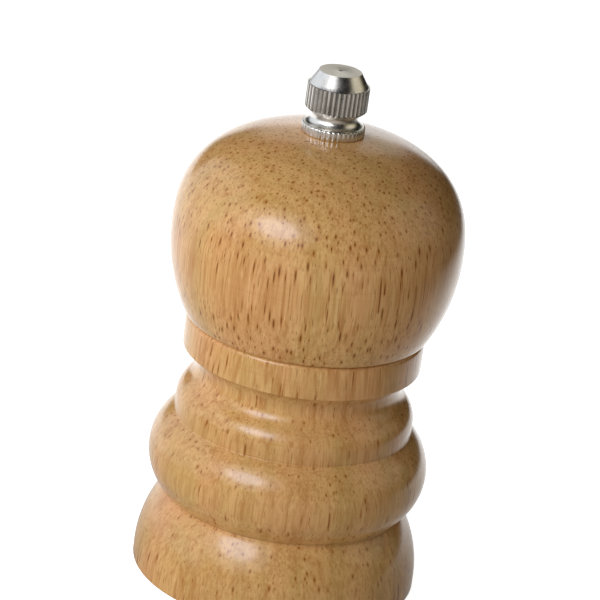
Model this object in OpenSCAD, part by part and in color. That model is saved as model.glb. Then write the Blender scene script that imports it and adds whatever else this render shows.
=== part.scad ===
// Salt and pepper mill: a turned wooden body and a ball-shaped head that turns a pair of
// burrs through a square spindle. The knurled nut on top pulls the spindle up to grind finer.
// The origin is the middle of the base, on the table, and +Z runs up the spindle.

/* [Overall] */
// Height of the whole mill, with its nut
mill_h = 103.2; // [100:0.1:108]

/* [Body outline] */
// Diameter of the base
base_d = 55.5; // [54:0.1:60]
// Height of the base, up to its groove
base_h = 15.55; // [14:0.05:17]
// How far the base's flank curves in
base_draw = 4.25; // [3.4:0.05:5]
// Rounding of the base's lower edge
foot_round = 0.6; // [0.3:0.1:1]
// Height of the base's straight foot, above that rounding
foot_wall_h = 1.6; // [0.8:0.1:3]
// Height of the groove above the base
groove_h = 0.5; // [0.4:0.05:1]
// Depth of the groove above the base
groove_depth = 0.2; // [0.1:0.05:0.25]
// How far the large bead stays inside the base
bead_in = 0.55; // [-1:0.05:1.5]
// Height of the large bead
bead_h = 16.15; // [14:0.05:19]
// Depth of the large bead's round side, down to the groove
bead_depth = 3.7; // [3:0.1:4.6]
// Height of the scored line above the large bead
score_h = 0.35; // [0.25:0.05:0.6]
// Depth of the scored line
score_depth = 0.12; // [0.08:0.02:0.3]
// Diameter of the shoulder
shoulder_d = 46.3; // [45:0.1:48]
// Height of the shoulder's straight wall
shoulder_wall_h = 2.15; // [1:0.05:3.5]
// Height of the shoulder's rounded top
shoulder_round_h = 4; // [3:0.1:5]
// How far the shoulder's rounded top draws in
shoulder_draw = 1.85; // [1.2:0.05:2.4]
// Diameter of the neck, at the bottom of its hollow
neck_d = 39.6; // [38:0.1:41]
// Height of the neck's hollow
neck_h = 6.7; // [5.5:0.1:8]
// Diameter of the collar
collar_d = 46.2; // [45:0.1:50]
// Height of the collar
collar_h = 7.2; // [6:0.1:9]
// Overhang of the collar past the top of the neck's hollow
collar_lip = 1.3; // [0.8:0.1:1.8]
// Rounding of the collar's top edge
collar_round = 1.1; // [0.6:0.1:1.6]
// Rounding of the collar's lower edge
collar_edge = 0.4; // [0.2:0.1:0.7]
// Rise of the collar's underside from the neck to its edge
collar_under = 0.3; // [0.2:0.1:0.8]

/* [Hopper] */
// Diameter of the hopper bored down the body
hopper_d = 27; // [24:0.5:29]
// Chamfer round the hopper's mouth
mouth_chamfer = 0.5; // [0.2:0.1:1]
// Depth of the recess under the body, up to the seat of the burr carrier
recess_h = 9; // [8.5:0.1:11]

/* [Head] */
// How far the head's widest line stands out past the base
head_over = 0.25; // [-1:0.05:3]
// Diameter of the head's foot on the collar, before its edge is rounded
head_foot_d = 46.8; // [44:0.1:49]
// Height from the collar to the head's widest line
head_drop = 17.2; // [15:0.1:20]
// Fullness of the head's dome, where 2 is an ellipse
head_fullness = 2.45; // [2:0.05:3]
// Rounding of the head's lower edge
head_edge = 0.6; // [0.3:0.1:0.9]
// Length of the tenon that centres the head in the hopper
tenon_l = 10; // [7:0.5:12]
// Chamfer round the tenon's end
tenon_chamfer = 0.8; // [0.4:0.1:1.5]

/* [Adjusting nut] */
// Diameter over the knurl of the drum
drum_d = 11.9; // [10.5:0.1:14]
// Diameter over the knurl of the flange
flange_d = 12.1; // [11:0.1:14]
// Height of the flange
flange_h = 1.9; // [1.4:0.1:2.6]
// Width of the flange's rounded rim
flange_rim = 0.3; // [0.2:0.05:0.5]
// Diameter of the waist
waist_d = 8.8; // [8:0.1:10]
// Height of the hollow sweep from the flange to the waist
sweep_h = 1.4; // [1:0.1:2]
// Depth of the hollow sweep from the flange to the waist
sweep_depth = 0.35; // [0.2:0.05:0.5]
// Height of the waist
waist_h = 0.5; // [0.3:0.1:1.2]
// Height of the bevel from the waist to the drum
bevel_h = 1.2; // [0.8:0.1:1.8]
// Height of the drum
drum_h = 4.6; // [3.5:0.1:6]
// Ledge between the drum and the cone
drum_ledge = 0.3; // [0.1:0.05:0.5]
// Height of the cone
cone_h = 2.6; // [2:0.1:3.5]
// Diameter of the flat top
cone_top_d = 8.1; // [7:0.1:9]
// Diameter of the centre mark in the top
centre_mark_d = 0.7; // [0.4:0.1:1]
// Teeth round the knurl
knurl_count = 38; // [30:1:44]
// Depth of the knurl
knurl_depth = 0.28; // [0.15:0.01:0.4]
// Flat part of each tooth, as a share of the knurl's pitch
knurl_land = 0.56; // [0.4:0.02:0.7]
// Solid metal above the thread
nut_roof = 2.2; // [1.8:0.1:3]

/* [Spindle] */
// Width of the square spindle
spindle_w = 5; // [4.4:0.1:5.6]
// How far the threaded stud is turned below the square's width
stud_step = 0.1; // [0.1:0.1:0.6]
// Room left above the stud in the nut
stud_room = 1.2; // [0.8:0.1:1.8]
// Room left between the square and the nut
square_room = 0.8; // [0.6:0.1:1.2]
// Diameter of the lower stud
pivot_d = 3.9; // [3.4:0.1:4.2]
// Length of the lower stud that stands out of its nut
pivot_over = 0.5; // [0.3:0.1:1]
// Width across the flats of the lower nut
lock_nut_w = 7; // [6.5:0.1:8]
// Height of the lower nut
lock_nut_h = 2.2; // [1.8:0.1:2.6]
// Diameter of the lower washer
lock_washer_d = 8.8; // [8:0.1:10]
// Thickness of the lower washer
lock_washer_t = 0.8; // [0.5:0.1:1]

/* [Burrs] */
// Diameter of the rotor at its widest
rotor_d = 24; // [22:0.2:26]
// Height of the rotor
rotor_h = 8.9; // [8:0.1:10]
// Height of the rotor's fine teeth
fine_h = 2.8; // [2.2:0.1:3.4]
// How far the fine teeth's cone draws in
fine_draw = 1.6; // [1.2:0.1:2]
// Wall at the rotor's top
rotor_wall = 2; // [1.8:0.1:2.6]
// Gap between rotor and stator at a middle grind
grind_gap = 0.45; // [0.4:0.01:0.6]
// Fine teeth round the rotor
rotor_fine_teeth = 30; // [24:1:36]
// Coarse ribs round the rotor
rotor_coarse_ribs = 8; // [6:1:10]
// Depth of the fine teeth
fine_depth = 0.55; // [0.3:0.05:0.8]
// Width of the grooves between the fine teeth
fine_width = 1.1; // [0.8:0.1:1.3]
// Depth of the coarse ribs
coarse_depth = 1; // [0.6:0.1:1.3]
// Width of the grooves between the coarse ribs
coarse_width = 2.2; // [1.6:0.1:2.8]
// Lean of the teeth from the spindle's line, in degrees
tooth_lean = 18; // [10:1:25]
// Height of the stator
stator_h = 12.6; // [12:0.1:14]
// Wall of the stator round its fine teeth
stator_wall = 2.2; // [1.8:0.1:2.8]
// Height of the stator's funnel
funnel_h = 4.6; // [3.5:0.1:5]
// Rim left at the top of the funnel
funnel_rim = 0.9; // [0.6:0.1:1.4]
// Fine teeth round the stator
stator_fine_teeth = 36; // [28:1:40]
// Grooves up the stator's throat
stator_grooves = 12; // [8:1:16]

/* [Hub, carrier and bridge] */
// Wall of the hub round the square spindle
hub_wall = 2.6; // [2.2:0.1:3]
// Height of the hub's core
hub_core_h = 5.4; // [4.5:0.1:6]
// Diameter of the hub's flange
hub_flange_d = 18; // [16:0.2:20]
// Thickness of the hub's flange
hub_flange_t = 1.2; // [1:0.1:1.4]
// Width of the keys on the hub and on the stator
key_w = 2.6; // [2:0.1:3.2]
// Height that the keys stand out
key_out = 0.9; // [0.6:0.1:1.1]
// Keys round the hub and the stator
key_count = 3; // [2:1:4]
// Wall of the burr carrier
carrier_wall = 1.9; // [1.6:0.1:2.4]
// Width of the carrier's flange
carrier_flange_w = 4.4; // [4.2:0.1:4.8]
// Thickness of the carrier's flange
carrier_flange_t = 2.4; // [2:0.1:3]
// Thickness of the lip that the stator rests on
lip_t = 0.8; // [0.6:0.1:1.2]
// Width of the lip that the stator rests on
lip_w = 1.3; // [0.8:0.1:1.6]
// Width of the bridge
bridge_w = 7; // [5:0.1:9]
// Thickness of the bridge
bridge_t = 1; // [0.8:0.1:1.4]
// Wall of the bridge's eye
bridge_eye_wall = 2; // [1.5:0.1:2.6]
// Thickness of the washer between the bridge and the spring
thrust_washer_t = 0.8; // [0.5:0.1:1]
// Thickness of the spring's lower seat
spring_seat_t = 0.6; // [0.4:0.1:0.8]
// Diameter of the spring's wire
wire_d = 0.7; // [0.5:0.05:0.8]
// Pitch that the spring is wound to
wire_pitch = 1.15; // [1.1:0.05:1.6]

/* [Drive plate] */
// Thickness of the drive plate
plate_t = 1.2; // [0.8:0.1:1.6]
// Width of the drive plate
plate_w = 10; // [9:0.1:12]
// Margin between the drive plate and the tenon's edge
plate_margin = 2.2; // [1.6:0.1:3]
// Distance from the drive plate's end to its screw
plate_screw_edge = 3; // [2.6:0.1:3.4]

/* [Screws] */
// Diameter of the screws' shanks
screw_d = 2.2; // [1.8:0.1:2.4]
// Diameter of the screws' heads
screw_head_d = 4.2; // [3.8:0.1:4.4]
// Height of the drive plate's screw heads
pan_h = 1.3; // [1:0.1:1.5]
// Depth of the screws in the wood
screw_depth = 6.5; // [5:0.5:8]
// Length of the screws' points
screw_point = 1.6; // [1:0.1:2]
// Width of the cross in the screws' heads
cross_w = 0.6; // [0.4:0.1:0.8]
// Depth of the cross in the screws' heads
cross_depth = 0.7; // [0.5:0.1:0.9]
// Screws in the carrier's flange
carrier_screw_count = 3; // [2:1:4]

/* [Clearances] */
// Gap round a piece that drops into the wood
wood_fit = 0.15; // [0.1:0.05:0.3]
// Gap round the tenon, which turns in the hopper
tenon_fit = 0.3; // [0.2:0.05:0.4]
// Gap between pieces that fit together
part_fit = 0.1; // [0.05:0.01:0.15]
// Gap round a thread, a pilot hole or a shank
thread_fit = 0.05; // [0.03:0.01:0.08]
// Gap round the spindle's corners, where it turns in a round hole
spindle_fit = 0.3; // [0.25:0.05:0.5]
// Gap under the bridge, where the washer turns
run_gap = 0.1; // [0.05:0.01:0.2]
// Height of the rotor's base above the stator's base
rotor_lift = 0.2; // [0:0.05:0.5]

/* [Hidden] */

$fn = 96;
arc_steps = 20;
dome_steps = 40;
small_arc_steps = 6;
spring_rings = 8;
spring_sides = 6;
cut = 1;

wood_colour = [0.79, 0.6, 0.37];
plated_colour = [0.82, 0.81, 0.78];
steel_colour = [0.66, 0.67, 0.68];
ceramic_colour = [0.93, 0.91, 0.86];
nylon_colour = [0.17, 0.17, 0.18];

// Heights up the body's outline
flank_z = foot_round + foot_wall_h;
bead_z = base_h + groove_h;
bead_top_z = bead_z + bead_h;
wall_z = bead_top_z + score_h;
round_z = wall_z + shoulder_wall_h;
ridge_z = round_z + shoulder_round_h;
collar_z = ridge_z + neck_h;
seat_z = collar_z + collar_h;

// Radii round the body's outline
base_r = base_d / 2;
base_top_r = base_r - base_draw;
bead_r = base_r - bead_in;
bead_root_r = bead_r - bead_depth;
shoulder_r = shoulder_d / 2;
bead_rise = bead_r - (bead_root_r + shoulder_r) / 2;
ridge_r = shoulder_r - shoulder_draw;
collar_r = collar_d / 2;
hollow_top_r = collar_r - collar_lip;
hollow_depth = (ridge_r + hollow_top_r - neck_d) / 2;
hopper_r = hopper_d / 2;

// The square spindle and what it passes through
spindle_corner_r = spindle_w / sqrt(2);
spindle_hole_r = spindle_corner_r + spindle_fit;
square_hole_w = spindle_w + 2 * part_fit;
stud_r = (spindle_w - stud_step) / 2;

// The burrs, from the spindle outwards
hub_core_r = square_hole_w / sqrt(2) + hub_wall;
rotor_bore_r = hub_core_r + part_fit;
rotor_r = rotor_d / 2;
rotor_waist_r = rotor_r - fine_draw;
rotor_top_r = rotor_bore_r + rotor_wall;
fine_slope = atan2(fine_draw, fine_h);
stator_waist_r = rotor_waist_r + grind_gap;
stator_base_r = rotor_r + grind_gap + rotor_lift * fine_draw / fine_h;
stator_r = stator_base_r + stator_wall;
carrier_bore_r = stator_r + part_fit;
carrier_r = carrier_bore_r + carrier_wall;
carrier_flange_r = carrier_r + carrier_flange_w;
recess_r = carrier_flange_r + wood_fit;
carrier_seat_r = carrier_r + wood_fit;
carrier_screw_r = carrier_r + carrier_flange_w / 2;
lip_r = carrier_bore_r - lip_w;
funnel_r = stator_r - funnel_rim;

// Heights up the grinder
carrier_z = recess_h - carrier_flange_t;
stator_z = carrier_z + lip_t;
carrier_top_z = stator_z + stator_h;
shoulder_z = carrier_top_z + bridge_t;
rotor_z = stator_z + rotor_lift;
fine_top_z = rotor_z + fine_h;
rotor_top_z = rotor_z + rotor_h;
hub_z = rotor_z - hub_flange_t;
hub_top_z = rotor_z + hub_core_h;
spring_z = hub_top_z + spring_seat_t;
thrust_top_z = carrier_top_z - run_gap;
spring_top_z = thrust_top_z - thrust_washer_t;
lock_washer_z = hub_z - lock_washer_t;
lock_nut_z = lock_washer_z - lock_nut_h;
pivot_z = lock_nut_z - pivot_over;

// The spring, wound round the spindle between its two washers
spring_r = spindle_corner_r + spindle_fit + wire_d / 2;
spring_washer_r = spring_r + wire_d;
spring_rise = spring_top_z - spring_z - wire_d - 2 * thread_fit;
spring_turns = floor(spring_rise / wire_pitch);
spring_steps = spring_rings * spring_turns;

// The adjusting nut, counted up from its seat
drum_r = drum_d / 2;
flange_r = flange_d / 2;
waist_r = waist_d / 2;
waist_z = flange_h + sweep_h;
bevel_z = waist_z + waist_h;
drum_z = bevel_z + bevel_h;
drum_top_z = drum_z + drum_h;
nut_h = drum_top_z + cone_h;
nut_bore_r = stud_r + thread_fit;
nut_bore_h = nut_h - nut_roof;
flange_break = flange_rim / 2;
knurl_pitch = 360 / knurl_count;

// The head and its tenon
head_r = base_r + head_over;
head_foot_r = head_foot_d / 2;
widest_z = seat_z + head_drop;
nut_z = mill_h - nut_h;
head_rise = nut_z - widest_z;
tenon_r = hopper_r - tenon_fit;
tenon_z = seat_z - tenon_l;
nut_seat_r = flange_r + part_fit;
lower_axis = head_drop / sqrt(1 - pow(head_foot_r / head_r, 2));
edge_drop = head_drop - head_edge;
edge_r = head_r * sqrt(1 - pow(edge_drop / lower_axis, 2));
edge_lean = atan(edge_drop / edge_r * pow(head_r / lower_axis, 2));
edge_round_r = head_edge / (1 - sin(edge_lean));
edge_middle = [edge_r - edge_round_r * cos(edge_lean), seat_z + edge_round_r];
dome_share = pow(nut_seat_r / head_r, head_fullness);
upper_axis = head_rise / pow(1 - dome_share, 1 / head_fullness);
dome_end = acos(sqrt(dome_share));

// The drive plate under the tenon
plate_l = 2 * (tenon_r - plate_margin);
plate_z = tenon_z - plate_t;
plate_screw_x = plate_l / 2 - plate_screw_edge;

// Screws, countersunk in the carrier and round headed under the drive plate
screw_r = screw_d / 2;
screw_head_r = screw_head_d / 2;
pilot_r = screw_r + thread_fit;
sunk_h = screw_head_r - screw_r;

// A circular arc from a to b, without a, that bulges by rise to the right of the way it runs
function bow(a, b, rise, steps = arc_steps) =
    let (
        chord = norm(b - a),
        along = (b - a) / chord,
        out = [along[1], -along[0]],
        side = sign(rise),
        radius = (chord * chord / 4 + rise * rise) / (2 * abs(rise)),
        half = 2 * atan(2 * abs(rise) / chord),
        centre = (a + b) / 2 + out * (rise - side * radius)
    )
    [
        for (i = [1:steps])
            let (t = half * (2 * i / steps - 1))
            centre + out * side * radius * cos(t) + along * radius * sin(t)
    ];

// Part of an ellipse about centre, from one angle to another
function sweep(centre, across, up, from, to, steps = arc_steps) =
    [
        for (i = [0:steps])
            let (t = from + (to - from) * i / steps)
            centre + [across * cos(t), up * sin(t)]
    ];

// A rounded corner, which turns by a right angle from the angle from
function corner(centre, r, from) = sweep(centre, r, r, from, from + 90, small_arc_steps);

// A rounded flank that leaves a straight wall at (r, z) and draws in over its height
function flank(r, z, height, draw) =
    let (round_r = (height * height + draw * draw) / (2 * draw))
    sweep([r - round_r, z], round_r, round_r, 0, atan2(height, round_r - draw));

body_outside = concat(
    corner([base_r - foot_round, foot_round], foot_round, -90),
    flank(base_r, flank_z, base_h - flank_z, base_draw),
    bow([base_top_r, base_h], [bead_root_r, bead_z], -groove_depth, small_arc_steps),
    bow([bead_root_r, bead_z], [shoulder_r, bead_top_z], bead_rise, dome_steps),
    [[shoulder_r - score_depth, bead_top_z + score_h / 2], [shoulder_r, wall_z]],
    flank(shoulder_r, round_z, shoulder_round_h, shoulder_draw),
    bow([ridge_r, ridge_z], [hollow_top_r, collar_z], -hollow_depth),
    corner([collar_r - collar_edge, collar_z + collar_under + collar_edge], collar_edge, -90),
    corner([collar_r - collar_round, seat_z - collar_round], collar_round, 0)
);

body_inside = [
    [hopper_r + mouth_chamfer, seat_z], [hopper_r, seat_z - mouth_chamfer],
    [hopper_r, shoulder_z], [carrier_seat_r, shoulder_z],
    [carrier_seat_r, recess_h], [recess_r, recess_h], [recess_r, 0]
];

head_outline = concat(
    [
        [spindle_hole_r, tenon_z], [tenon_r - tenon_chamfer, tenon_z],
        [tenon_r, tenon_z + tenon_chamfer], [tenon_r, seat_z]
    ],
    sweep(edge_middle, edge_round_r, edge_round_r, -90, -edge_lean, small_arc_steps),
    [
        for (i = [1:dome_steps])
            let (drop = edge_drop * (1 - i / dome_steps))
            [head_r * sqrt(1 - pow(drop / lower_axis, 2)), widest_z - drop]
    ],
    [
        for (i = [1:dome_steps])
            let (t = dome_end * i / dome_steps, power = 2 / head_fullness)
            [head_r * pow(cos(t), power), widest_z + upper_axis * pow(sin(t), power)]
    ],
    [[spindle_hole_r, nut_z]]
);

nut_outline = concat(
    [[nut_bore_r, 0], [flange_r - flange_break, 0], [flange_r, flange_break]],
    corner([flange_r - flange_rim, flange_h - flange_rim], flange_rim, 0),
    bow([flange_r - flange_rim, flange_h], [waist_r, waist_z], -sweep_depth),
    [
        [waist_r, bevel_z], [drum_r, drum_z], [drum_r, drum_top_z],
        [drum_r - drum_ledge, drum_top_z], [cone_top_d / 2, nut_h],
        [centre_mark_d / 2, nut_h], [0, nut_h - centre_mark_d / 2],
        [0, nut_bore_h], [nut_bore_r, nut_bore_h]
    ]
);

knurl_outline = [
    for (i = [0:knurl_count - 1], corner = [[-knurl_land / 2, 1], [knurl_land / 2, 1], [0.5, 0]])
        let (turn = knurl_pitch * (i + corner[0]), r = drum_r - knurl_depth * (1 - 2 * corner[1]))
        r * [cos(turn), sin(turn)]
];

rotor_outline = [
    [rotor_bore_r, rotor_z], [rotor_r, rotor_z], [rotor_waist_r, fine_top_z],
    [rotor_top_r, rotor_top_z], [rotor_bore_r, rotor_top_z]
];

stator_outline = [
    [stator_base_r, stator_z], [stator_r, stator_z], [stator_r, carrier_top_z],
    [funnel_r, carrier_top_z], [stator_waist_r, carrier_top_z - funnel_h], [stator_waist_r, fine_top_z]
];

carrier_outline = [
    [lip_r, carrier_z], [carrier_flange_r, carrier_z], [carrier_flange_r, recess_h],
    [carrier_r, recess_h], [carrier_r, carrier_top_z], [carrier_bore_r, carrier_top_z],
    [carrier_bore_r, stator_z], [lip_r, stator_z]
];

// The spring's wire: one ring of points round each step of its helix
function spring_turn(i) = 360 * spring_turns * i / spring_steps;
function spring_middle(i) =
    [
        spring_r * cos(spring_turn(i)),
        spring_r * sin(spring_turn(i)),
        spring_z + wire_d / 2 + thread_fit + spring_rise * i / spring_steps
    ];
function spring_ring(i) =
    let (
        out = [cos(spring_turn(i)), sin(spring_turn(i)), 0],
        rise = spring_rise / (spring_turns * 2 * PI * spring_r),
        run = [-sin(spring_turn(i)), cos(spring_turn(i)), rise] / norm([1, rise]),
        side = cross(run, out)
    )
    [
        for (k = [0:spring_sides - 1])
            let (t = 360 * k / spring_sides)
            spring_middle(i) + wire_d / 2 * (out * cos(t) + side * sin(t))
    ];
spring_points = [for (i = [0:spring_steps], p = spring_ring(i)) p];
spring_faces = concat(
    [for (k = [1:spring_sides - 2]) [0, k, k + 1]],
    [
        for (i = [0:spring_steps - 1], k = [0:spring_sides - 1], half = [0, 1])
            let (
                a = i * spring_sides + k,
                b = i * spring_sides + (k + 1) % spring_sides,
                ahead = spring_sides
            )
            half == 0 ? [a, a + ahead, b + ahead] : [a, b + ahead, b]
    ],
    [
        for (k = [1:spring_sides - 2])
            let (first = spring_steps * spring_sides)
            [first, first + k + 1, first + k]
    ]
);
spring_gap = min([
    for (i = [0:spring_steps], j = [0:spring_steps])
        if (j - i >= spring_rings / 2)
            norm(spring_middle(j) - spring_middle(i)) - wire_d
]);
echo(str("Least gap of the spring to itself: ", spring_gap, " mm"));

// Copies of the children, evenly spaced round the spindle
module around(count) {
    for (i = [0:count - 1])
        rotate([0, 0, 360 / count * i]) children();
}

// A round hole or post from one height to another
module post(r, from, to) {
    translate([0, 0, from]) cylinder(r = r, h = to - from);
}

// A square bar round the spindle's line
module square_bar(w, from, to) {
    translate([-w / 2, -w / 2, from]) cube([w, w, to - from]);
}

// Radial keys that stand out of a round face, all the way up it
module keys(r, w, out, from, to) {
    around(key_count) translate([r - cut, -w / 2, from]) cube([out + cut, w, to - from]);
}

// V-shaped grooves in a cone: r and z are its middle, and side is 1 outside it and -1 inside it
module flutes(count, r, z, slope, lean, length, width, depth, side) {
    open = width * (depth + cut) / depth / 2;
    around(count)
        translate([r, 0, z]) rotate([0, -slope, 0]) rotate([lean, 0, 0])
            linear_extrude(height = length, center = true)
                polygon([[side * cut, -open], [side * cut, open], [-side * depth, 0]]);
}

// A cross cut up into a screw's head from below
module cross_recess(z) {
    for (turn = [0, 90])
        rotate([0, 0, turn])
            translate([-screw_r, -cross_w / 2, z - cut]) cube([2 * screw_r, cross_w, cross_depth + cut]);
}

// A screw's shank and point, driven upwards
module shank(from, to) {
    post(screw_r, from, to - screw_point);
    translate([0, 0, to - screw_point]) cylinder(r1 = screw_r, r2 = 0, h = screw_point);
}

module at_plate_screws() {
    for (x = [-plate_screw_x, plate_screw_x])
        translate([x, 0, 0]) children();
}

module at_carrier_screws() {
    rotate([0, 0, 90]) around(carrier_screw_count) translate([carrier_screw_r, 0, 0]) children();
}

// The countersunk head, grown by a clearance for the hole that takes it
module sunk_head(grow) {
    translate([0, 0, carrier_z]) cylinder(r1 = screw_head_r + grow, r2 = screw_r + grow, h = sunk_h);
}

module body() {
    color(wood_colour)
    difference() {
        rotate_extrude() polygon(concat(body_outside, body_inside));
        at_carrier_screws() post(pilot_r, recess_h - cut, recess_h + screw_depth + thread_fit);
    }
}

module head() {
    color(wood_colour)
    difference() {
        rotate_extrude() polygon(head_outline);
        at_plate_screws() post(pilot_r, tenon_z - cut, tenon_z + screw_depth + thread_fit);
    }
}

module adjusting_nut() {
    color(plated_colour)
    translate([0, 0, nut_z])
    intersection() {
        rotate_extrude() polygon(nut_outline);
        translate([0, 0, -cut]) linear_extrude(height = nut_h + 2 * cut) polygon(knurl_outline);
    }
}

module spindle() {
    color(steel_colour) {
        post(pivot_d / 2, pivot_z, rotor_z);
        square_bar(spindle_w, rotor_z, nut_z - square_room);
        post(stud_r, nut_z - square_room, nut_z + nut_bore_h - stud_room);
    }
}

module drive_plate() {
    color(steel_colour)
    difference() {
        intersection() {
            translate([-plate_l / 2, -plate_w / 2, plate_z]) cube([plate_l, plate_w, plate_t]);
            post(plate_l / 2, plate_z, tenon_z);
        }
        square_bar(square_hole_w, plate_z - cut, tenon_z + cut);
        at_plate_screws() post(pilot_r, plate_z - cut, tenon_z + cut);
    }
}

module drive_plate_screws() {
    color(plated_colour)
    at_plate_screws()
    difference() {
        union() {
            post(screw_head_r, plate_z - pan_h, plate_z);
            shank(plate_z - cut / 2, tenon_z + screw_depth);
        }
        cross_recess(plate_z - pan_h);
    }
}

module stator_carrier() {
    color(nylon_colour)
    difference() {
        rotate_extrude() polygon(carrier_outline);
        keys(carrier_bore_r, key_w + 2 * part_fit, key_out, stator_z, carrier_top_z + cut);
        at_carrier_screws() {
            post(pilot_r, carrier_z - cut, recess_h + cut);
            sunk_head(thread_fit);
        }
    }
}

module carrier_screws() {
    color(plated_colour)
    at_carrier_screws()
    difference() {
        union() {
            sunk_head(0);
            shank(carrier_z + sunk_h / 2, recess_h + screw_depth);
        }
        cross_recess(carrier_z);
    }
}

module stator_burr() {
    throat_z = carrier_top_z - funnel_h;
    color(ceramic_colour)
    difference() {
        union() {
            rotate_extrude() polygon(stator_outline);
            keys(stator_r, key_w, key_out, stator_z, carrier_top_z);
        }
        flutes(
            stator_fine_teeth, (stator_base_r + stator_waist_r) / 2, (stator_z + fine_top_z) / 2,
            fine_slope, -tooth_lean, 2 * fine_h, fine_width, fine_depth, -1
        );
        flutes(
            stator_grooves, stator_waist_r, (fine_top_z + throat_z) / 2,
            0, -tooth_lean, throat_z - fine_top_z + 2 * cut, coarse_width, coarse_depth, -1
        );
    }
}

module bridge() {
    color(steel_colour)
    difference() {
        intersection() {
            union() {
                translate([-carrier_r, -bridge_w / 2, carrier_top_z])
                    cube([2 * carrier_r, bridge_w, bridge_t]);
                post(spindle_hole_r + bridge_eye_wall, carrier_top_z, shoulder_z);
            }
            post(carrier_r, carrier_top_z, shoulder_z);
        }
        post(spindle_hole_r, carrier_top_z - cut, shoulder_z + cut);
    }
}

module thrust_washer() {
    color(steel_colour)
    difference() {
        post(spring_washer_r, spring_top_z, thrust_top_z);
        square_bar(square_hole_w, spring_top_z - cut, thrust_top_z + cut);
    }
}

module spring() {
    color(steel_colour) polyhedron(points = spring_points, faces = spring_faces);
}

module spring_seat() {
    color(steel_colour)
    difference() {
        post(spring_washer_r, hub_top_z, spring_z);
        square_bar(square_hole_w, hub_top_z - cut, spring_z + cut);
    }
}

module rotor_hub() {
    color(nylon_colour)
    difference() {
        union() {
            post(hub_flange_d / 2, hub_z, rotor_z);
            post(hub_core_r, rotor_z, hub_top_z);
            keys(hub_core_r, key_w, key_out, rotor_z, hub_top_z);
        }
        post(pivot_d / 2 + thread_fit, hub_z - cut, rotor_z + cut);
        square_bar(square_hole_w, rotor_z, hub_top_z + cut);
    }
}

module rotor_burr() {
    coarse_slope = atan2(rotor_waist_r - rotor_top_r, rotor_top_z - fine_top_z);
    color(ceramic_colour)
    difference() {
        rotate_extrude() polygon(rotor_outline);
        keys(rotor_bore_r, key_w + 2 * part_fit, key_out, rotor_z - cut, hub_top_z + part_fit);
        flutes(
            rotor_fine_teeth, (rotor_r + rotor_waist_r) / 2, (rotor_z + fine_top_z) / 2,
            fine_slope, tooth_lean, 2 * fine_h, fine_width, fine_depth, 1
        );
        flutes(
            rotor_coarse_ribs, (rotor_waist_r + rotor_top_r) / 2, (fine_top_z + rotor_top_z) / 2,
            coarse_slope, tooth_lean, 2 * (rotor_top_z - fine_top_z), coarse_width, coarse_depth, 1
        );
    }
}

module rotor_washer() {
    color(steel_colour)
    difference() {
        post(lock_washer_d / 2, lock_washer_z, hub_z);
        post(pivot_d / 2 + part_fit, lock_washer_z - cut, hub_z + cut);
    }
}

module rotor_nut() {
    color(steel_colour)
    difference() {
        translate([0, 0, lock_nut_z])
            cylinder(d = lock_nut_w / cos(30), h = lock_nut_h, $fn = 6);
        post(pivot_d / 2 + thread_fit, lock_nut_z - cut, lock_washer_z + cut);
    }
}

body();
head();
adjusting_nut();
spindle();
drive_plate();
drive_plate_screws();
stator_carrier();
carrier_screws();
stator_burr();
bridge();
thrust_washer();
spring();
spring_seat();
rotor_hub();
rotor_burr();
rotor_washer();
rotor_nut();
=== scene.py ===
# %% [markdown]
# # A salt and pepper mill
# This mill is turned from pale, honey-coloured wood. Its ball-shaped head turns on the body and drives
# a pair of burrs, and a bright knurled nut on top sets the grind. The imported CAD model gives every
# size and place, so it is loaded first, and each piece that is modelled here takes its measure from it.

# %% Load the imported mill
import math

import bmesh
import bpy
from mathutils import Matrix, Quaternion, Vector


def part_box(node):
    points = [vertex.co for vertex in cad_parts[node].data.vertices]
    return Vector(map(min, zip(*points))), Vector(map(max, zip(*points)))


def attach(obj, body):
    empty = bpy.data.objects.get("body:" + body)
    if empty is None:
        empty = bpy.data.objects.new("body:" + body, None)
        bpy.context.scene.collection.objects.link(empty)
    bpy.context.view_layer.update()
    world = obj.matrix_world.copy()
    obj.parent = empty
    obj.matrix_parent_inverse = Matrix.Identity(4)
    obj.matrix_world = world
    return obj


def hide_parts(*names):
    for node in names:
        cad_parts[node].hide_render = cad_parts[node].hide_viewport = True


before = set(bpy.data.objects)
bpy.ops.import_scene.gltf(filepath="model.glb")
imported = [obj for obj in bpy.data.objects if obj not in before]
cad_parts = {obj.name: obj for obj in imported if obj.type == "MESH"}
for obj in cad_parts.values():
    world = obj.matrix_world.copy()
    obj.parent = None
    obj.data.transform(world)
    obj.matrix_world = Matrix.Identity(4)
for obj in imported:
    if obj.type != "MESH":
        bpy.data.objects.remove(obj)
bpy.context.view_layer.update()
MM = 0.001

# %% [markdown]
# ## The camera
# The picture was taken with a long lens from about 21 degrees above the table, and the camera was
# tipped sideways, so the mill leans. A place, a point to look at and a roll say all of that, and they
# are easier to correct than three rotation angles. The lens follows from its length in pixels.

# %% Camera
photo_px = 600
lens_px = 3500
sensor_mm = 36
camera_place = Vector((0, -625.58, 299.86)) * MM
camera_aim = Vector((-1.73, 0, 56.51)) * MM
camera_roll = math.radians(7.835)

bpy.ops.object.select_all(action="DESELECT")
bpy.ops.object.camera_add(location=camera_place)
camera = bpy.context.object
camera.name = "photo_camera"
camera.data.sensor_width = sensor_mm
camera.data.lens = lens_px * sensor_mm / photo_px
camera.rotation_mode = "QUATERNION"
level_look = (camera_aim - camera_place).to_track_quat("-Z", "Y")
camera.rotation_quaternion = level_look @ Quaternion((0, 0, 1), camera_roll)
bpy.context.scene.camera = camera
bpy.context.scene.view_settings.view_transform = "Standard"
print("Lens, mm:", round(camera.data.lens, 1))

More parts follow.
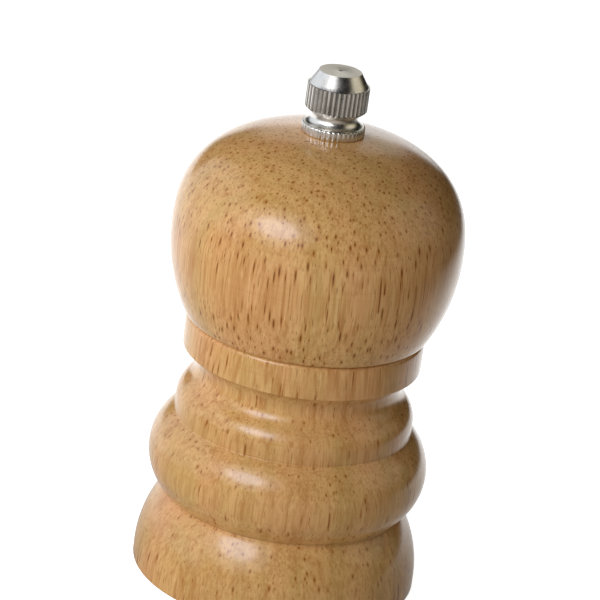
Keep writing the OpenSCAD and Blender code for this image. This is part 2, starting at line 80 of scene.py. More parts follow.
# %% [markdown]
# ## Nodes in few words
# A material is a chain of small nodes. The first helper makes one node, sets its options and joins its
# inputs. The others name the kinds that come back often, so that each material below reads from top to
# bottom, and a colour or a measure can be found and changed in one place.


# %% A helper for any shader node
def add_node(tree, kind, inputs=None, **options):
    """Adds a node. A socket given as an input is linked, and any other value is set on the input."""
    made = tree.nodes.new("ShaderNode" + kind)
    for name, value in options.items():
        setattr(made, name, value)
    for name, value in (inputs or {}).items():
        if isinstance(value, bpy.types.NodeSocket):
            tree.links.new(value, made.inputs[name])
        else:
            made.inputs[name].default_value = value
    return made


def new_material(name):
    """Gives the material, its tree of nodes and its shader."""
    made = bpy.data.materials.new(name)
    made.use_nodes = True
    return made, made.node_tree, made.node_tree.nodes["Principled BSDF"]


print("Helpers made: add_node, new_material")


# %% Helpers for sums, blends and ranges
def math_node(tree, operation, first, second=0.0, third=0.0):
    inputs = {0: first, 1: second, 2: third}
    return add_node(tree, "Math", inputs, operation=operation).outputs[0]


def vector_node(tree, operation, first, second):
    return add_node(tree, "VectorMath", {0: first, 1: second}, operation=operation).outputs[0]


def scale_node(tree, first, factor):
    return add_node(tree, "VectorMath", {0: first, "Scale": factor}, operation="SCALE").outputs[0]


def blend_node(tree, share, first, second):
    """Blends two colours: all of the first at a share of 0, and all of the second at 1."""
    return add_node(tree, "Mix", {0: share, 6: first, 7: second}, data_type="RGBA").outputs[2]


def range_node(tree, value, low, high, to_low=0.0, to_high=1.0, smooth=True):
    """Turns values from low to high into values from to_low to to_high, and stops at both ends."""
    inputs = {"Value": value, "From Min": low, "From Max": high, "To Min": to_low, "To Max": to_high}
    kind = "SMOOTHSTEP" if smooth else "LINEAR"
    return add_node(tree, "MapRange", inputs, interpolation_type=kind).outputs[0]


print("Helpers made: math_node, vector_node, scale_node, blend_node, range_node")


# %% Helpers for places and noise
def axis_node(tree, place):
    """Gives how far a place lies from the Z axis, and its height."""
    part = add_node(tree, "SeparateXYZ", {0: place}).outputs
    y_squared = math_node(tree, "MULTIPLY", part["Y"], part["Y"])
    squared = math_node(tree, "MULTIPLY_ADD", part["X"], part["X"], y_squared)
    return math_node(tree, "SQRT", squared), part["Z"]


def noise_node(tree, place, scale, detail, roughness=0.5):
    inputs = {"Vector": place, "Scale": scale, "Detail": detail, "Roughness": roughness}
    return add_node(tree, "TexNoise", inputs)


def line_noise(tree, along, scale, detail):
    """Noise along one measure, such as a length."""
    inputs = {"W": along, "Scale": scale, "Detail": detail}
    return add_node(tree, "TexNoise", inputs, noise_dimensions="1D").outputs[0]


print("Helpers made: axis_node, noise_node, line_noise")

# %% [markdown]
# ## The studio
# The mill stands in a white tent with one large soft lamp high on the left, and the room behind the
# camera is dark. The world is that tent: a few round cards of light, given by the way they lie, their
# half width in degrees, how soft their edge is, their brightness and their tint. The two strips only
# show in reflections, as the cards do that photographers hold up beside metal, and the fill only lights
# the mill's back. Camera rays see the tent plain white, so the background adds no light to the wood.

# %% Cards in the tent
white = (1.0, 1.0, 1.0)
cards = {
    "left": ((-0.97, 0.20, 0.10), 45, 0.15, 1.04, (0.96, 1.02, 1.12)),
    "right": ((1.0, 0.0, 0.10), 40, 0.2, 0.27, (1.0, 0.86, 0.50)),
    "back": ((0.0, 1.0, 0.0), 18, 0.3, 1.6, white),
    "front": ((0.0, -1.0, 0.10), 40, 0.3, 0.07, (1.0, 0.85, 0.65)),
    "back fill": ((0.0, 1.0, 0.15), 65, 0.6, 0.60, white),
    "right strip": ((0.86, 0.06, 0.50), 28, 0.35, 0.55, (1.0, 0.94, 0.84)),
    "high strip": ((0.0, 0.92, 0.39), 17, 0.4, 0.80, (1.0, 0.98, 0.90)),
}
world = bpy.data.worlds.new("white_tent")
bpy.context.scene.world = world
world.use_nodes = True
tent = world.node_tree
way = add_node(tent, "TexCoord").outputs["Generated"]
tent_ray = add_node(tent, "LightPath").outputs
tent_light = (0.0, 0.0, 0.0)
for name, (card_way, half_angle, softness, bright, tint) in cards.items():
    card_middle = Vector(card_way).normalized()
    facing = add_node(tent, "VectorMath", {0: way, 1: card_middle}, operation="DOT_PRODUCT")
    rim = math.cos(math.radians(half_angle))
    full = math.cos(math.radians(half_angle * (1 - softness)))
    card = range_node(tent, facing.outputs["Value"], rim, full, 0.0, bright)
    if name.endswith("strip"):
        card = math_node(tent, "MULTIPLY", card, tent_ray["Is Glossy Ray"])
    elif name.endswith("fill"):
        card = math_node(tent, "MULTIPLY", card, tent_ray["Is Diffuse Ray"])
    tent_light = vector_node(tent, "ADD", scale_node(tent, tint, card), tent_light)
print("Tent with cards:", list(cards))

# %% Plain white for the camera
tent_wall = tent.nodes["Background"]
tent.links.new(tent_light, tent_wall.inputs["Color"])
plain_white = add_node(tent, "Background", {"Color": (*white, 1), "Strength": 1.0})
tent_mix = add_node(tent, "MixShader", {
    0: tent_ray["Is Camera Ray"], 1: tent_wall.outputs[0], 2: plain_white.outputs[0],
})
tent.links.new(tent_mix.outputs[0], tent.nodes["World Output"].inputs["Surface"])
print("Nodes in the tent:", len(tent.nodes))

# %% Lamp
# A softbox is brightest in its middle, so a small oval lies just before a large one. Each has its
# width, height and distance in metres, its brightness and its tint. An even lamp's watts are its
# brightness times pi times its area
lamp_turn, lamp_height = math.radians(-34.5), math.radians(33)
lamp_way = Vector((
    math.cos(lamp_height) * math.sin(lamp_turn),
    -math.cos(lamp_height) * math.cos(lamp_turn),
    math.sin(lamp_height),
))
lamps = {
    "softbox": (0.58, 0.43, 0.55, 1.85, white),
    "softbox_middle": (0.31, 0.20, 0.54, 5.9, (0.90, 0.97, 1.20)),
}
for name, (width, height, distance, bright, tint) in lamps.items():
    bpy.ops.object.light_add(type="AREA", location=lamp_way * distance)
    lamp = bpy.context.object
    lamp.name = name
    lamp.rotation_mode = "QUATERNION"
    lamp.rotation_quaternion = lamp_way.to_track_quat("Z", "Y")
    lamp.data.shape = "ELLIPSE"
    lamp.data.size, lamp.data.size_y = width, height
    lamp.data.color = tint
    oval_area = math.pi * width * height / 4
    lamp.data.energy = bright * math.pi * oval_area
    print(name, "shines with", round(lamp.data.energy, 2), "W")

# %% [markdown]
# ## The floor
# A sheet of white paper runs under the mill. Its glow is only for the camera and for reflections, so
# the sheet looks white and still keeps the mill's shadow. In reflections it is bright behind the mill,
# which draws white rims on the varnish, dim near the mill and on the right, and warm farther in front.

# %% Sheet of paper
floor_side, floor_drop = 4.0, 0.02 * MM
paper_white, paper_roughness, paper_glow = 0.82, 0.9, 0.90
bpy.ops.mesh.primitive_plane_add(size=floor_side, location=(0, 0, -floor_drop))
floor = bpy.context.object
floor.name = "floor"
paper, sheet, sheet_shader = new_material("white_paper")
sheet_shader.inputs["Base Color"].default_value = (paper_white, paper_white, paper_white, 1)
sheet_shader.inputs["Roughness"].default_value = paper_roughness
sheet_ray = add_node(sheet, "LightPath").outputs
glow = add_node(sheet, "Emission", {
    "Strength": math_node(sheet, "MULTIPLY", sheet_ray["Is Camera Ray"], paper_glow),
})
lit = add_node(sheet, "AddShader", {0: sheet_shader.outputs[0], 1: glow.outputs[0]})
print("Floor", floor_side, "m wide")

# %% Its brightness in reflections
foot_bright, back_bright, front_bright = 0.14, 1.5, 0.45
right_share = 0.06
front_tint = (1.0, 0.90, 0.80)
spot = add_node(sheet, "SeparateXYZ", {0: add_node(sheet, "TexCoord").outputs["Object"]}).outputs
behind = range_node(sheet, spot["Y"], -50 * MM, 120 * MM, foot_bright, back_bright)
to_right = range_node(sheet, spot["X"], 100 * MM, 260 * MM, 1.0, right_share)
in_front = range_node(sheet, spot["Y"], -190 * MM, -260 * MM, 0.0, front_bright)
back_light = scale_node(sheet, white, math_node(sheet, "MULTIPLY", behind, to_right))
front_light = scale_node(sheet, front_tint, in_front)
mirrored = add_node(sheet, "Emission", {"Color": vector_node(sheet, "ADD", back_light, front_light)})
paper_mix = add_node(sheet, "MixShader", {
    0: sheet_ray["Is Glossy Ray"], 1: lit.outputs[0], 2: mirrored.outputs[0],
})
sheet.links.new(paper_mix.outputs[0], sheet.nodes["Material Output"].inputs["Surface"])
floor.data.materials.append(paper)
print("Nodes in the paper:", len(sheet.nodes))

# %% [markdown]
# ## Turning on a lathe
# The body, the head and the nut of a real mill come off a lathe: a tool follows one outline while the
# work spins. Spin does the same here. The outline is cut from a copy of the CAD solid with Bisect,
# so the turned piece follows the CAD sizes, and it gets even rings and soft edges that catch light.

# %% Helpers for selecting
weld = 0.002 * MM
hair = 0.001 * MM


def edit(piece):
    """Opens a piece in edit mode, with everything selected."""
    bpy.ops.object.select_all(action="DESELECT")
    bpy.context.view_layer.objects.active = piece
    piece.select_set(True)
    bpy.ops.object.mode_set(mode="EDIT")
    bpy.ops.mesh.select_mode(type="VERT")
    bpy.ops.mesh.select_all(action="SELECT")


def pick(piece, test):
    """In edit mode, selects the vertices whose place passes the test, and says how many they are."""
    mesh = bmesh.from_edit_mesh(piece.data)
    for vertex in mesh.verts:
        vertex.select = test(vertex.co)
    mesh.select_flush_mode()
    bmesh.update_edit_mesh(piece.data)
    return sum(vertex.select for vertex in mesh.verts)


def merged_copy(node, name):
    """A copy of a CAD node, in edit mode, with its loose triangles merged."""
    piece = bpy.data.objects.new(name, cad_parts[node].data.copy())
    bpy.context.collection.objects.link(piece)
    piece.data.materials.clear()
    edit(piece)
    bpy.ops.mesh.remove_doubles(threshold=weld)
    bpy.ops.mesh.select_all(action="SELECT")
    return piece


print("Points closer than", weld / MM, "mm are merged")


# %% Helpers for turning
def half_section(node, name):
    """A new object, in edit mode, with one half of the CAD node's cut through its axis."""
    outline_weld = 0.005 * MM
    piece = merged_copy(node, name)
    bpy.ops.mesh.bisect(plane_co=(0, 0, 0), plane_no=(0, 1, 0), clear_inner=True, clear_outer=True)
    pick(piece, lambda place: place.x < -hair)
    bpy.ops.mesh.delete(type="VERT")
    bpy.ops.mesh.select_all(action="SELECT")
    bpy.ops.mesh.remove_doubles(threshold=outline_weld)
    return piece


def turn_on_lathe(steps):
    """Spins the outline being edited a full turn about the mill's axis and closes the seam."""
    bpy.ops.mesh.select_all(action="SELECT")
    bpy.ops.mesh.spin(steps=steps, angle=math.tau, center=(0, 0, 0), axis=(0, 0, 1))
    bpy.ops.mesh.select_all(action="SELECT")
    bpy.ops.mesh.remove_doubles(threshold=weld)
    bpy.ops.mesh.normals_make_consistent(inside=False)


def soften(piece, width, angle, segments):
    """Leaves edit mode, shades smooth and rounds every edge sharper than the angle."""
    bpy.ops.object.mode_set(mode="OBJECT")
    bpy.ops.object.shade_smooth_by_angle(angle=math.radians(angle))
    rounding = piece.modifiers.new("rounding", "BEVEL")
    rounding.width = width
    rounding.segments = segments
    rounding.limit_method = "ANGLE"
    rounding.angle_limit = math.radians(angle)
    rounding.use_clamp_overlap = True
    rounding.harden_normals = True
    bpy.ops.object.modifier_apply(modifier=rounding.name)


def report(piece):
    """Prints how many faces a piece has, and its size."""
    low = [min(v.co[i] for v in piece.data.vertices) / MM for i in range(3)]
    high = [max(v.co[i] for v in piece.data.vertices) / MM for i in range(3)]
    size = [round(b - a, 2) for a, b in zip(low, high)]
    print(piece.name, "has", len(piece.data.polygons), "faces and measures, mm:", size)


print("Helpers made: half_section, turn_on_lathe, soften, report")

# %% Body and head
lathe_steps = 192
wood_edge_angle, wood_edge_segments = 28, 3
turned = {}
for node, name, edge_width in (("body", "turned_body", 0.32 * MM), ("head", "turned_head", 0.15 * MM)):
    piece = half_section(node, name)
    turn_on_lathe(lathe_steps)
    soften(piece, edge_width, wood_edge_angle, wood_edge_segments)
    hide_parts(node)
    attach(piece, node)
    turned[node] = piece
    report(piece)

# %% [markdown]
# ## The knurled nut
# The nut is turned first and knurled afterwards, as on a real lathe: a wheel presses straight grooves
# into the drum and into the rim of the flange. Spinning in a multiple of the tooth count puts whole
# columns of vertices where the grooves go, and scaling those columns inwards presses them.

# %% Turn the nut, open at the top
knurl_teeth, columns_per_tooth = 38, 8
nut_steps = knurl_teeth * columns_per_tooth
nut = half_section("adjusting_nut", "knurled_nut")
nut_seat_z, nut_top_z = (corner.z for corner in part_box("adjusting_nut"))
pick(nut, lambda place: place.x < MM and place.z > nut_top_z - MM)
bpy.ops.mesh.delete(type="VERT")
turn_on_lathe(nut_steps)
print("The nut is spun in", nut_steps, "steps")

# %% Close its top, with the mark of the lathe's centre
top_r, mark_r, mark_depth = 4.05 * MM, 0.35 * MM, 0.2 * MM
rim_count = pick(nut, lambda place: place.z > nut_top_z - hair)
bpy.ops.mesh.edge_face_add()
bpy.ops.mesh.inset(thickness=top_r - mark_r)
bpy.ops.mesh.inset(thickness=mark_depth, depth=-mark_depth)
print("The top closes", rim_count, "vertices")

# %% Press the knurl
knurl_reach = 5.8 * MM
drum_knurl, flange_knurl = 0.28 * MM, 0.13 * MM
knurl_split = nut_seat_z + 3 * MM
groove_columns = {2: 0.25, 3: 0.8, 4: 1.0, 5: 0.8, 6: 0.25}


def knurl_column(place):
    turn = math.atan2(place.y, place.x) / math.tau
    return round(turn * knurl_teeth * columns_per_tooth) % columns_per_tooth


def press(column, depth, on_drum):
    """Presses one column of every tooth inwards, on the drum or on the flange."""
    pressed = pick(nut, lambda place: (
        place.xy.length > knurl_reach
        and knurl_column(place) == column
        and (place.z > knurl_split) == on_drum
    ))
    squeeze = 1 - depth / knurl_reach
    bpy.ops.transform.resize(value=(squeeze, squeeze, 1), center_override=(0, 0, 0))
    return pressed


for column, share in groove_columns.items():
    on_drum = press(column, share * drum_knurl, True)
    on_flange = press(column, share * flange_knurl, False)
    print("Knurl column", column, "presses", on_drum, "and", on_flange, "vertices")

# %% Soften its edges and set it on the mill
nut_edge, nut_edge_angle, nut_edge_segments = 0.04 * MM, 30, 2
soften(nut, nut_edge, nut_edge_angle, nut_edge_segments)
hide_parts("adjusting_nut")
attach(nut, "adjusting_nut")
report(nut)

# %% [markdown]
# ## The spindle's thread
# When the head is lifted off, the stud that the nut screws onto comes into view. The CAD stud is plain,
# because its thread is only a looks matter. Here it is cut off and a threaded one takes its place: one
# tooth of the thread is drawn as a short line, and the Screw modifier winds it up round the axis.

# %% One tooth of the thread
thread_pitch, thread_depth = 0.8 * MM, 0.45 * MM
stud_r = 2.45 * MM
tooth_cuts = 7
tooth_half_widths = (0.30, 0.18, 0.05)
bpy.ops.object.select_all(action="DESELECT")
bpy.ops.mesh.primitive_plane_add(size=thread_pitch, rotation=(math.pi / 2, 0, 0))
thread = bpy.context.object
thread.name = "stud_thread"
bpy.ops.object.transform_apply(location=False, rotation=True, scale=False)
edit(thread)
pick(thread, lambda place: place.x < 0)
bpy.ops.mesh.delete(type="VERT")
bpy.ops.mesh.select_all(action="SELECT")
bpy.ops.mesh.subdivide(number_cuts=tooth_cuts)
bpy.ops.mesh.select_all(action="SELECT")
bpy.ops.transform.translate(value=(stud_r - thread_depth - thread_pitch / 2, 0, 0))
for half_width in tooth_half_widths:
    pick(thread, lambda place: abs(place.z) < half_width * thread_pitch)
    bpy.ops.transform.translate(value=(thread_depth / len(tooth_half_widths), 0, 0))
bpy.ops.object.mode_set(mode="OBJECT")
print("The tooth's line has", len(thread.data.vertices), "points")

# %% Wind it up the stud
thread_steps, spare_turns = 32, 2
stud_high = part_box("spindle")[1].z
stud_low = max(v.co.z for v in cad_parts["spindle"].data.vertices if v.co.z < stud_high - MM)
winding = thread.modifiers.new("winding", "SCREW")
winding.axis = "Z"
winding.angle = math.tau
winding.screw_offset = thread_pitch
winding.iterations = math.ceil((stud_high - stud_low) / thread_pitch) + spare_turns
winding.steps = winding.render_steps = thread_steps
print("The thread winds", winding.iterations, "turns")
bpy.ops.object.modifier_apply(modifier=winding.name)
edit(thread)
bpy.ops.mesh.remove_doubles(threshold=weld)
bpy.ops.mesh.select_all(action="SELECT")
bpy.ops.transform.translate(value=(0, 0, stud_low - thread_pitch))

# %% Cut it to the stud's length and close its ends
for end_z, below in ((stud_low, True), (stud_high, False)):
    bpy.ops.mesh.select_all(action="SELECT")
    bpy.ops.mesh.bisect(
        plane_co=(0, 0, end_z), plane_no=(0, 0, 1), use_fill=True,
        clear_inner=below, clear_outer=not below,
    )
bpy.ops.mesh.select_all(action="SELECT")
bpy.ops.mesh.normals_make_consistent(inside=False)
bpy.ops.object.mode_set(mode="OBJECT")
report(thread)

# %% Put it on the spindle
stud_overlap = 0.02 * MM
spindle_smooth_angle = 30
spindle = merged_copy("spindle", "threaded_spindle")
bpy.ops.mesh.bisect(
    plane_co=(0, 0, stud_low + stud_overlap), plane_no=(0, 0, 1), use_fill=True, clear_outer=True,
)
bpy.ops.mesh.select_all(action="SELECT")
bpy.ops.mesh.normals_make_consistent(inside=False)
bpy.ops.object.mode_set(mode="OBJECT")
thread.select_set(True)
bpy.ops.object.join()
bpy.ops.object.shade_smooth_by_angle(angle=math.radians(spindle_smooth_angle))
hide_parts("spindle")
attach(spindle, "spindle")
report(spindle)

# %% [markdown]
# ## The wood's growth
# Pale wood of this kind has growth rings, pinker patches and fine fibres that run up the tree. A flat
# pattern would have to be stretched over the ball and the beads, and its seams would show. A solid one
# fills the whole tree, and the turned surface cuts through it, as the lathe's tool does. It is made of
# noise that is drawn out along Z, and each layer blends one more tone over the last.


# %% Helpers for the grain
# Places in the wood are in millimetres, with the tree's middle at X = Y = 0. A noise's scale is
# about how many of its grains lie side by side in a millimetre
def stretched_noise(tree, place, stretch, scale, detail=2.0, roughness=0.5):
    """Noise drawn out along the tree, with a value for each place."""
    drawn_out = vector_node(tree, "MULTIPLY", place, stretch)
    return noise_node(tree, drawn_out, scale, detail, roughness)


def wander(tree, place, scale, reach):
    """Moves a place sideways by a slow noise, by up to about half the reach."""
    noise = stretched_noise(tree, place, (1.0, 1.0, 0.4), scale, 1.0).outputs["Color"]
    drift = vector_node(tree, "SUBTRACT", noise, (0.5, 0.5, 0.5))
    return vector_node(tree, "ADD", place, vector_node(tree, "MULTIPLY", drift, (reach, reach, 0.0)))


print("Helpers made: stretched_noise, wander")

# %% Rings, patches and fibres
tones = {
    "straw": (0.70, 0.398, 0.140, 1),
    "olive": (0.587, 0.342, 0.106, 1),
    "rosy": (0.70, 0.345, 0.130, 1),
    "amber": (0.463, 0.188, 0.043, 1),
    "cream": (0.82, 0.520, 0.214, 1),
}


def growth_colour(tree, grain):
    """Blends the tones in layers. Each starts at one value of its noise and is full at another."""
    from_pith = axis_node(tree, grain)[0]
    ring = line_noise(tree, from_pith, scale=0.23, detail=2.0)
    patch = stretched_noise(tree, grain, (1.0, 1.0, 0.35), scale=0.085).outputs[0]
    band = stretched_noise(tree, grain, (1.0, 1.0, 0.08), scale=0.42).outputs[0]
    streak = stretched_noise(tree, grain, (1.0, 1.0, 0.05), scale=1.1).outputs[0]
    fibre = stretched_noise(
        tree, grain, (1.0, 1.0, 0.035), scale=2.4, detail=3.0, roughness=0.65,
    ).outputs[0]
    ring_share = range_node(tree, ring, 0.36, 0.62, 0.15, 1.0)
    colour = blend_node(tree, ring_share, tones["olive"], tones["straw"])
    for noise, starts, full, most, tone in (
        (patch, 0.44, 0.68, 0.70, "rosy"),
        (band, 0.50, 0.74, 0.42, "amber"),
        (streak, 0.53, 0.70, 0.58, "amber"),
        (fibre, 0.50, 0.68, 0.52, "amber"),
        (fibre, 0.48, 0.30, 0.50, "cream"),
    ):
        share = range_node(tree, noise, starts, full, 0.0, most)
        colour = blend_node(tree, share, colour, tones[tone])
    return colour


print("Tones of the wood:", list(tones))

# %% [markdown]
# ## The wood's vessels
# Vessels run up the tree like thin straws. Where the lathe cuts along them they show as dark dashes,
# and where it cuts across them, on the dome and under it, as dots. One solid pattern gives both: flat
# Voronoi cells, looked at along the tree, put one thread in each cell, and noise along the thread
# breaks it into lengths. Luck, the cell's own random colour, makes every thread a little different.


# %% Threads up the tree
def vessels(tree, grain, cell, thin, thick, break_length, open_share):
    """Gives the threads, one to a cell, and a wider halo round them. All lengths are in mm."""
    core_share, halo_reach = 0.5, 2.4
    cells = add_node(tree, "TexVoronoi", {"Vector": grain, "Scale": 1 / cell}, voronoi_dimensions="2D")
    luck = add_node(tree, "SeparateColor", {0: cells.outputs["Color"]}).outputs
    radius = range_node(tree, luck[0], 0.0, 1.0, thin / cell, thick / cell, smooth=False)
    core = math_node(tree, "MULTIPLY", radius, core_share)
    far = math_node(tree, "MULTIPLY", radius, halo_reach)
    thread = range_node(tree, cells.outputs["Distance"], radius, core)
    halo = range_node(tree, cells.outputs["Distance"], far, core)

    # Each thread starts at its own point of one long line of noise, and shows where that is high
    noise_length, edge = 90.0, 0.10
    shows_from = 0.56 - 0.2 * open_share
    start = math_node(tree, "MULTIPLY", luck[1], noise_length)
    height = add_node(tree, "SeparateXYZ", {0: grain}).outputs["Z"]
    along = math_node(tree, "MULTIPLY_ADD", height, 1 / break_length, start)
    breaks = line_noise(tree, along, scale=1.0, detail=1.0)
    shown = range_node(tree, breaks, shows_from, shows_from + edge)
    return math_node(tree, "MULTIPLY", thread, shown), math_node(tree, "MULTIPLY", halo, shown)


print("Helper made: vessels")

# %% Wide vessels with a warm halo, and many that are almost too fine to see
halo_brown, halo_share = (0.44, 0.155, 0.028, 1), 0.65
fine_brown, fine_share = (0.28, 0.105, 0.022, 1), 0.70
wide_share = 0.95
wide_vessels = {"cell": 1.30, "thin": 0.07, "thick": 0.23, "break_length": 9.0}
fine_vessels = {"cell": 0.72, "thin": 0.05, "thick": 0.13, "break_length": 4.0}


def vessel_colour(tree, grain, colour, open_share, wide_brown):
    """Draws the vessels over a colour. Gives the new colour, and the wide threads for the relief."""
    wide, halo = vessels(tree, grain, **wide_vessels, open_share=open_share)
    fine = vessels(tree, grain, **fine_vessels, open_share=open_share)[0]
    for mark, share, brown in (
        (halo, halo_share, halo_brown), (fine, fine_share, fine_brown), (wide, wide_share, wide_brown),
    ):
        colour = blend_node(tree, math_node(tree, "MULTIPLY", mark, share), colour, brown)
    return colour, wide


print("Vessels lie in cells of", wide_vessels["cell"], "and", fine_vessels["cell"], "mm")

# %% [markdown]
# ## The varnish
# A clear satin varnish lies over the turned wood. It fills the vessels almost level, and the faint
# rings that the lathe's tool burnished still show in it as low waves. The shader's coat is made for
# this: the wood below stays dull, and all the gloss comes from the coat.

# %% Coat over the wood
wood_roughness = 0.55
coat_roughness, coat_ior = 0.18, 1.45
relief_strength, relief_depth = 0.12, 0.05 * MM
vessel_dip, tool_wave = -0.6, 0.35


def varnish(tree, shader, trunk, wide, turning):
    ripple = noise_node(tree, trunk, scale=0.8, detail=2.0).outputs[0]
    waves = math_node(tree, "MULTIPLY_ADD", turning, tool_wave, ripple)
    level = math_node(tree, "MULTIPLY_ADD", wide, vessel_dip, waves)
    inputs = {"Height": level, "Strength": relief_strength, "Distance": relief_depth}
    relief = add_node(tree, "Bump", inputs).outputs[0]
    tree.links.new(relief, shader.inputs["Normal"])
    tree.links.new(relief, shader.inputs["Coat Normal"])
    shader.inputs["Roughness"].default_value = wood_roughness
    shader.inputs["Specular IOR Level"].default_value = 0.0
    shader.inputs["Coat Weight"].default_value = 1.0
    shader.inputs["Coat Roughness"].default_value = coat_roughness
    shader.inputs["Coat IOR"].default_value = coat_ior


print("Varnish with a roughness of", coat_roughness)

# %% Varnished wood for the body and the head
# Each piece comes from its own place in a tree, in mm, and leans in it by angles in radians. The
# head's wood has more open vessels, and darker ones
tool_stretch = (60.0, 60.0, 4000.0)
burnish_share = 0.16


def varnished_wood(name, trunk_place, lean, open_share, wide_brown):
    wood, tree, shader = new_material(name)
    coords = add_node(tree, "TexCoord").outputs["Object"]
    trunk = add_node(tree, "Mapping", {
        "Vector": coords, "Location": trunk_place, "Rotation": lean, "Scale": (1000, 1000, 1000),
    }).outputs["Vector"]
    bent = wander(tree, trunk, scale=0.055, reach=1.7)
    grain = wander(tree, bent, scale=0.35, reach=0.24)
    turning = stretched_noise(tree, coords, tool_stretch, scale=1.0, detail=1.0).outputs[0]
    burnish = range_node(tree, turning, 0.56, 0.72, 0.0, burnish_share)
    colour = blend_node(tree, burnish, growth_colour(tree, grain), tones["amber"])
    colour, wide = vessel_colour(tree, grain, colour, open_share, wide_brown)
    tree.links.new(colour, shader.inputs["Base Color"])
    varnish(tree, shader, trunk, wide, turning)
    return wood


body_brown, head_brown = (0.28, 0.095, 0.017, 1), (0.21, 0.066, 0.010, 1)
woods = {
    "body": ("body_varnished_wood", (31, 52, 5), (-0.10, 0.02, 0.4), 0.35, body_brown),
    "head": ("head_varnished_wood", (-38, 34, 90), (-0.10, 0.03, 1.3), 1.0, head_brown),
}
for node, wood in woods.items():
    turned[node].data.materials.append(varnished_wood(*wood))
print("Wood on", [piece.name for piece in turned.values()])

# %% [markdown]
# ## The metals
# The nut is bright nickel over fine turning marks. The metal inside is plainer: drawn bar and wire,
# stamped sheet and zinc-plated screws. Each gets the marks that its making leaves, at their real scale,
# from noise that can be drawn out along the way the tool moved. A slow cloud of duller metal keeps
# the large faces from looking like new plastic.


# %% Worked metal
def place_in_mm(tree):
    coords = add_node(tree, "TexCoord").outputs["Object"]
    return vector_node(tree, "MULTIPLY", coords, (1000, 1000, 1000))


def worked_metal(name, colour, roughness, marks_scale, marks_stretch, marks_depth):
    dull_share = 0.82
    metal, tree, shader = new_material(name)
    place = place_in_mm(tree)
    marks_place = vector_node(tree, "MULTIPLY", place, marks_stretch)
    marks = noise_node(tree, marks_place, marks_scale, detail=3.0).outputs[0]
    cloud = noise_node(tree, place, scale=0.35, detail=3.0).outputs[0]
    dull = tuple(dull_share * part for part in colour)
    tint = blend_node(tree, range_node(tree, cloud, 0.35, 0.65), (*dull, 1), (*colour, 1))
    tree.links.new(tint, shader.inputs["Base Color"])
    wear = math_node(tree, "ADD", marks, cloud)
    shine = range_node(tree, wear, 0.6, 1.4, roughness * 0.75, roughness * 1.3, smooth=False)
    tree.links.new(shine, shader.inputs["Roughness"])
    relief = add_node(tree, "Bump", {"Height": marks, "Strength": 0.25, "Distance": marks_depth})
    tree.links.new(relief.outputs[0], shader.inputs["Normal"])
    shader.inputs["Metallic"].default_value = 1.0
    return metal


print("Helpers made: place_in_mm, worked_metal")

# %% The five metals
# Each has its name, colour, roughness, marks to a millimetre, the way the marks run and their depth
even, along_bar = (1.0, 1.0, 1.0), (1.0, 1.0, 0.04)
fine_marks, plate_marks = 0.01 * MM, 0.012 * MM
metals = {
    "plated_nut": worked_metal("bright_nickel", (0.80, 0.775, 0.72), 0.29, 6.0, even, plate_marks),
    "spindle_steel": worked_metal("drawn_bar", (0.62, 0.63, 0.64), 0.30, 5.0, along_bar, fine_marks),
    "stamped_steel": worked_metal("stamped_sheet", (0.60, 0.61, 0.63), 0.34, 3.0, even, fine_marks),
    "screw_steel": worked_metal("zinc_plate", (0.68, 0.68, 0.66), 0.28, 4.0, even, fine_marks),
    "spring_steel": worked_metal("drawn_wire", (0.55, 0.56, 0.58), 0.30, 5.0, even, fine_marks),
}
print("Metals:", [metal.name for metal in metals.values()])

# %% Painted shade in the knurl's grooves and on the nut's top, which is also rougher
# The bottoms of the knurl's grooves get a darker colour as painted shade. The flat top is faced off,
# not polished, so it is rougher, and its darker colour is painted shade
knurl_groove_shade_tint, groove_shade_share = (0.13, 0.115, 0.11, 1), 0.55
top_shade_tint, top_roughness = (0.64, 0.61, 0.54, 1), 0.16
groove_top_r, groove_deep_r = 5.90 * MM, 5.74 * MM
drum_low, drum_high = nut_seat_z + 4.6 * MM, nut_seat_z + 9.6 * MM

nickel = metals["plated_nut"].node_tree
nickel_shader = nickel.nodes["Principled BSDF"]
from_axis, nut_height = axis_node(nickel, add_node(nickel, "TexCoord").outputs["Object"])
above_waist = range_node(nickel, nut_height, drum_low, drum_low + 0.3 * MM)
below_cone = range_node(nickel, nut_height, drum_high + 0.02 * MM, drum_high - 0.02 * MM)
on_drum = math_node(nickel, "MULTIPLY", above_waist, below_cone)
# Painted shade: the colour darkens towards the bottom of the knurl's grooves on the drum
deep = range_node(nickel, from_axis, groove_top_r, groove_deep_r)
groove_shade_mask = math_node(nickel, "MULTIPLY", deep, on_drum)
on_top = range_node(nickel, nut_height, nut_top_z - 0.06 * MM, nut_top_z - 0.02 * MM)
tint = nickel_shader.inputs["Base Color"].links[0].from_socket
tint = blend_node(nickel, math_node(nickel, "MULTIPLY", groove_shade_mask, groove_shade_share), tint, knurl_groove_shade_tint)
# Painted shade: the flat top gets a darker colour
tint = blend_node(nickel, on_top, tint, top_shade_tint)
nickel.links.new(tint, nickel_shader.inputs["Base Color"])
shine = nickel_shader.inputs["Roughness"].links[0].from_socket
shine = math_node(nickel, "MULTIPLY_ADD", on_top, top_roughness, shine)
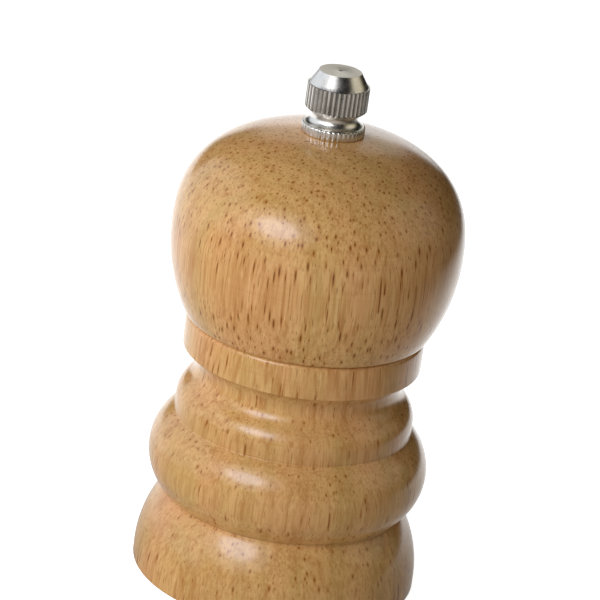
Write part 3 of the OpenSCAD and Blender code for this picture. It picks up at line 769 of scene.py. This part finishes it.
nickel.links.new(shine, nickel_shader.inputs["Roughness"])
nut.data.materials.append(metals["plated_nut"])
spindle.data.materials.append(metals["spindle_steel"])
print("Nodes in the nickel:", len(nickel.nodes))

# %% [markdown]
# ## The ceramic and the nylon
# The burrs are unglazed ceramic, and their carrier and hub are black nylon. Both come out of a mould,
# with a fine, even tooth on the surface and slow changes of tone, so one recipe makes both: a speck for
# the tooth, a cloud for the tone, and two colours to blend between.


# %% Moulded pieces
def moulded(name, pale, dark, roughness, speck_scale):
    stuff, tree, shader = new_material(name)
    place = place_in_mm(tree)
    speck = noise_node(tree, place, speck_scale, detail=4.0).outputs[0]
    cloud = noise_node(tree, place, scale=0.2, detail=2.0).outputs[0]
    share = range_node(tree, math_node(tree, "ADD", speck, cloud), 0.7, 1.2)
    tree.links.new(blend_node(tree, share, dark, pale), shader.inputs["Base Color"])
    shine = range_node(tree, speck, 0.3, 0.7, roughness * 0.8, roughness * 1.2)
    tree.links.new(shine, shader.inputs["Roughness"])
    relief = add_node(tree, "Bump", {"Height": speck, "Strength": 0.2, "Distance": 0.02 * MM})
    tree.links.new(relief.outputs[0], shader.inputs["Normal"])
    return stuff


# Each has its name, pale and dark colour, roughness and specks to a millimetre
mouldings = {
    "ceramic": moulded("unglazed_ceramic", (0.88, 0.86, 0.80, 1), (0.76, 0.73, 0.66, 1), 0.42, 3.0),
    "nylon": moulded("black_nylon", (0.045, 0.045, 0.047, 1), (0.022, 0.022, 0.024, 1), 0.48, 5.0),
}
print("Mouldings:", [stuff.name for stuff in mouldings.values()])

# %% [markdown]
# ## The CAD pieces that stay
# The burrs, the washers, the screws and the other small pieces inside are shown as the CAD model has
# them. Each carries a material slot with the name of its stuff, so the finish is found by that name.

# %% Finishes on the CAD pieces
finishes = {**metals, **mouldings}
finished = 0
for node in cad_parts.values():
    slot = node.material_slots[0]
    if slot.material.name in finishes and not node.hide_render:
        slot.material = finishes[slot.material.name]
        finished += 1
print("CAD pieces with a finish:", finished)
